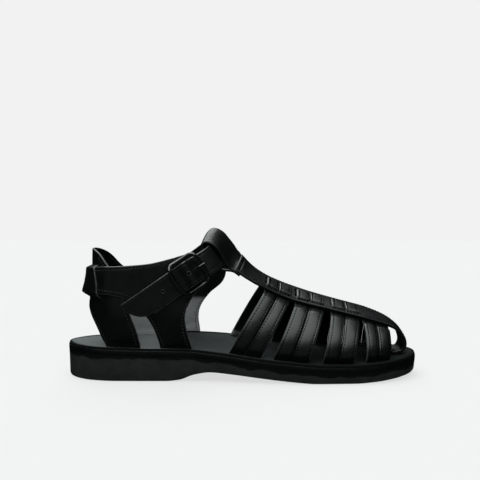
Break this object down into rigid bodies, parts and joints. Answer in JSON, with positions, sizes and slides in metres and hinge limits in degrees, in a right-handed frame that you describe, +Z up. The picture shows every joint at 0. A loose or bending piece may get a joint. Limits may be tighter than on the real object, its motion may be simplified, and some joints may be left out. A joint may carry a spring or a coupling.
{
  "type": "closed-toe woven sandal with a t-strap and an ankle buckle",
  "caption": "Right-foot leather sandal: pairs of broad straps woven through a long centre strap, an open quarter on four legs, and an ankle strap through an instep loop to a buckle.",
  "frame": {"origin": "centre of the bounding box in plan, on the ground plane under the sole", "axes": "+X to the toe, -Y to the outer (lateral) side, +Z up"},
  "size_m": [0.285, 0.0972, 0.1195],
  "materials": {
    "outsole_rubber": "mottled charcoal, matte",
    "midsole_edge": "black edge paint over pressed board",
    "footbed_suede": "light grey suede",
    "upper_leather": "black smooth leather, light sheen, grey flesh side and cut edges",
    "buckle_metal": "black enamel, satin"
  },
  "bodies": {
    "root": {"outsole": "outsole_rubber", "midsole": "midsole_edge", "insole": "footbed_suede", "upper_vamp": "upper_leather", "upper_quarter": "upper_leather", "ankle_strap": "upper_leather", "buckle_frame": "buckle_metal", "buckle_prong": "buckle_metal"}
  },
  "joints": []
}
